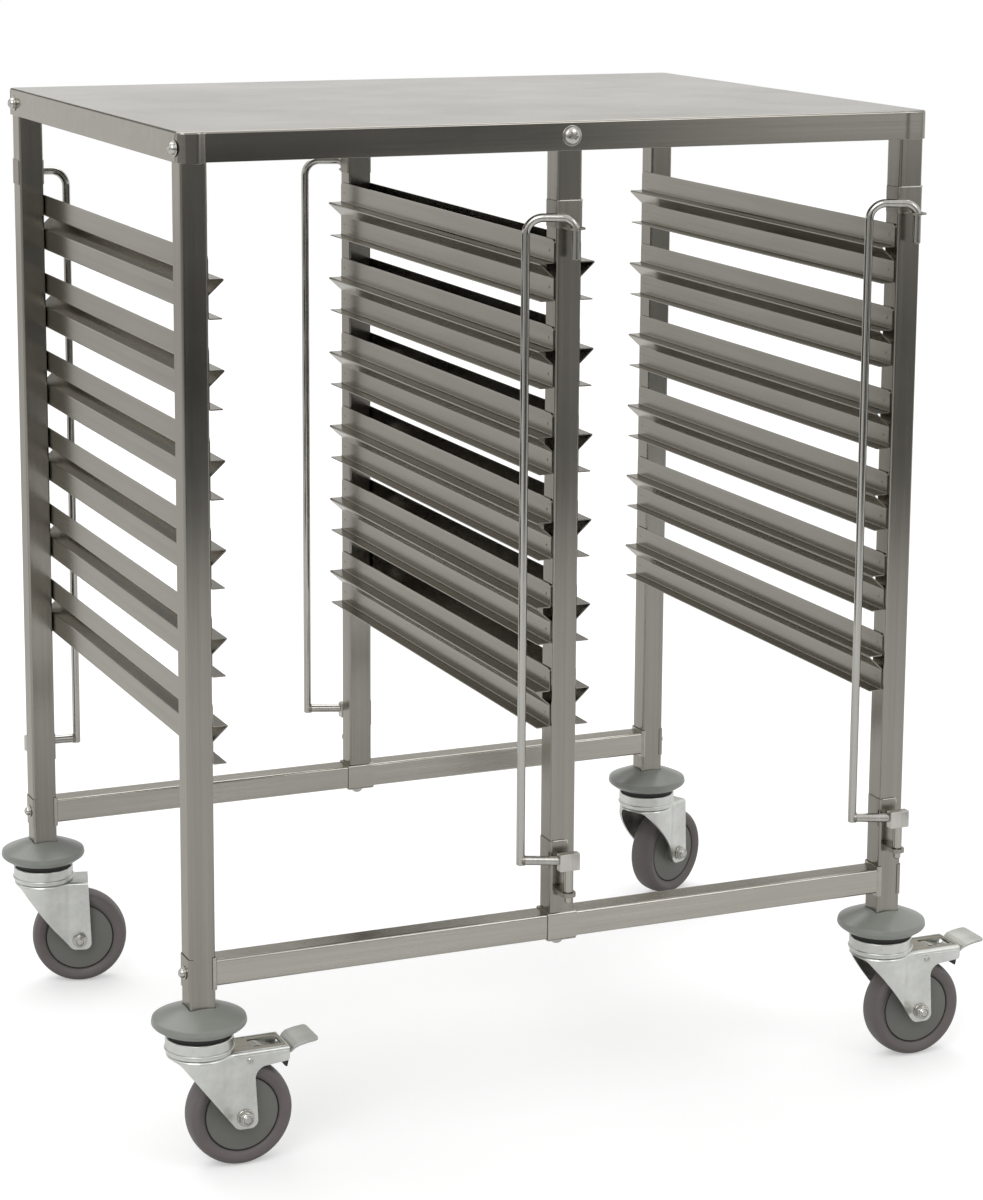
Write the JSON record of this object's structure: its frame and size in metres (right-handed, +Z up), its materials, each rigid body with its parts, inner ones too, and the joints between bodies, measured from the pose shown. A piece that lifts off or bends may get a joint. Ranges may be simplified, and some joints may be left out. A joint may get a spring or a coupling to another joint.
{
  "type": "sheet pan rack",
  "caption": "Wheeled two-column tray rack with a folded steel worktop, folded runners, swinging rod gates, bumper discs and braked swivel castors.",
  "frame": {"origin": "floor level, below the centre of the bounding box", "axes": "+X to the right seen from the front, -Y to the front, +Z up"},
  "size_m": [0.8726, 0.6264, 0.956],
  "materials": {
    "brushed_stainless": "brushed stainless sheet and tube",
    "polished_rod": "bright drawn stainless rod",
    "zinc_plate": "bright zinc-plated pressed steel",
    "bumper_rubber": "grey moulded rubber, satin",
    "tyre_rubber": "brown-grey non-marking rubber"
  },
  "bodies": {
    "frame": {"worktop": "brushed_stainless", "leg_front_left": "brushed_stainless", "leg_front_right": "brushed_stainless", "leg_back_left": "brushed_stainless", "leg_back_right": "brushed_stainless", "mid_post_front": "brushed_stainless", "rail_front": "brushed_stainless", "mid_post_back": "brushed_stainless", "rail_back": "brushed_stainless", "runner_left_1": "brushed_stainless", "runner_left_2": "brushed_stainless", "runner_left_3": "brushed_stainless", "runner_left_4": "brushed_stainless", "runner_left_5": "brushed_stainless", "runner_left_6": "brushed_stainless", "runner_mid_left_1": "brushed_stainless", "runner_mid_left_2": "brushed_stainless", "runner_mid_left_3": "brushed_stainless", "runner_mid_left_4": "brushed_stainless", "runner_mid_left_5": "brushed_stainless", "runner_mid_left_6": "brushed_stainless", "runner_mid_right_1": "brushed_stainless", "runner_mid_right_2": "brushed_stainless", "runner_mid_right_3": "brushed_stainless", "runner_mid_right_4": "brushed_stainless", "runner_mid_right_5": "brushed_stainless", "runner_mid_right_6": "brushed_stainless", "runner_right_1": "brushed_stainless", "runner_right_2": "brushed_stainless", "runner_right_3": "brushed_stainless", "runner_right_4": "brushed_stainless", "runner_right_5": "brushed_stainless", "runner_right_6": "brushed_stainless", "bumper_front_left": "bumper_rubber", "swivel_head_front_left": "zinc_plate", "bumper_front_right": "bumper_rubber", "swivel_head_front_right": "zinc_plate", "bumper_back_left": "bumper_rubber", "swivel_head_back_left": "zinc_plate", "bumper_back_right": "bumper_rubber", "swivel_head_back_right": "zinc_plate"},
    "gate_front_left": {"gate_front_left": "polished_rod"},
    "gate_front_right": {"gate_front_right": "polished_rod"},
    "gate_back_left": {"gate_back_left": "polished_rod"},
    "gate_back_right": {"gate_back_right": "polished_rod"},
    "castor_front_left": {"fork_front_left": "zinc_plate", "axle_front_left": "zinc_plate"},
    "wheel_front_left": {"wheel_front_left": "tyre_rubber"},
    "pedal_front_left": {"brake_pedal_front_left": "zinc_plate"},
    "castor_front_right": {"fork_front_right": "zinc_plate", "axle_front_right": "zinc_plate"},
    "wheel_front_right": {"wheel_front_right": "tyre_rubber"},
    "pedal_front_right": {"brake_pedal_front_right": "zinc_plate"},
    "castor_back_left": {"fork_back_left": "zinc_plate", "axle_back_left": "zinc_plate"},
    "wheel_back_left": {"wheel_back_left": "tyre_rubber"},
    "castor_back_right": {"fork_back_right": "zinc_plate", "axle_back_right": "zinc_plate"},
    "wheel_back_right": {"wheel_back_right": "tyre_rubber"}
  },
  "joints": [
    {"name": "gate_front_left_swing", "type": "hinge", "parent": "frame", "child": "gate_front_left", "pos_m": [-0.03331, -0.2952, 0.5], "axis": [0, 0, 1], "range_deg": [0, 204]},
    {"name": "gate_front_right_swing", "type": "hinge", "parent": "frame", "child": "gate_front_right", "pos_m": [0.32569, -0.2952, 0.5], "axis": [0, 0, 1], "range_deg": [0, 204]},
    {"name": "gate_back_left_swing", "type": "hinge", "parent": "frame", "child": "gate_back_left", "pos_m": [-0.39231, 0.2918, 0.5], "axis": [0, 0, 1], "range_deg": [0, 186]},
    {"name": "gate_back_right_swing", "type": "hinge", "parent": "frame", "child": "gate_back_right", "pos_m": [-0.03331, 0.2918, 0.5], "axis": [0, 0, 1], "range_deg": [-160, 0]},
    {"name": "castor_front_left_swivel", "type": "hinge", "parent": "frame", "child": "castor_front_left", "pos_m": [-0.39231, -0.2692, 0.112], "axis": [0, 0, 1], "continuous": true},
    {"name": "wheel_front_left_spin", "type": "hinge", "parent": "castor_front_left", "child": "wheel_front_left", "pos_m": [-0.35531, -0.2692, 0.05], "axis": [0, 1, 0], "continuous": true},
    {"name": "pedal_front_left_press", "type": "hinge", "parent": "castor_front_left", "child": "pedal_front_left", "pos_m": [-0.34991, -0.2692, 0.1045], "axis": [0, 1, 0], "range_deg": [0, 13]},
    {"name": "castor_front_right_swivel", "type": "hinge", "parent": "frame", "child": "castor_front_right", "pos_m": [0.32569, -0.2692, 0.112], "axis": [0, 0, 1], "continuous": true},
    {"name": "wheel_front_right_spin", "type": "hinge", "parent": "castor_front_right", "child": "wheel_front_right", "pos_m": [0.36269, -0.2692, 0.05], "axis": [0, 1, 0], "continuous": true},
    {"name": "pedal_front_right_press", "type": "hinge", "parent": "castor_front_right", "child": "pedal_front_right", "pos_m": [0.36809, -0.2692, 0.1045], "axis": [0, 1, 0], "range_deg": [0, 13]},
    {"name": "castor_back_left_swivel", "type": "hinge", "parent": "frame", "child": "castor_back_left", "pos_m": [-0.39231, 0.2658, 0.112], "axis": [0, 0, 1], "continuous": true},
    {"name": "wheel_back_left_spin", "type": "hinge", "parent": "castor_back_left", "child": "wheel_back_left", "pos_m": [-0.35657, 0.25622, 0.05], "axis": [0.2588, 0.9659, 0], "continuous": true},
    {"name": "castor_back_right_swivel", "type": "hinge", "parent": "frame", "child": "castor_back_right", "pos_m": [0.32569, 0.2658, 0.112], "axis": [0, 0, 1], "continuous": true},
    {"name": "wheel_back_right_spin", "type": "hinge", "parent": "castor_back_right", "child": "wheel_back_right", "pos_m": [0.35923, 0.28143, 0.05], "axis": [-0.4226, 0.9063, 0], "continuous": true}
  ]
}
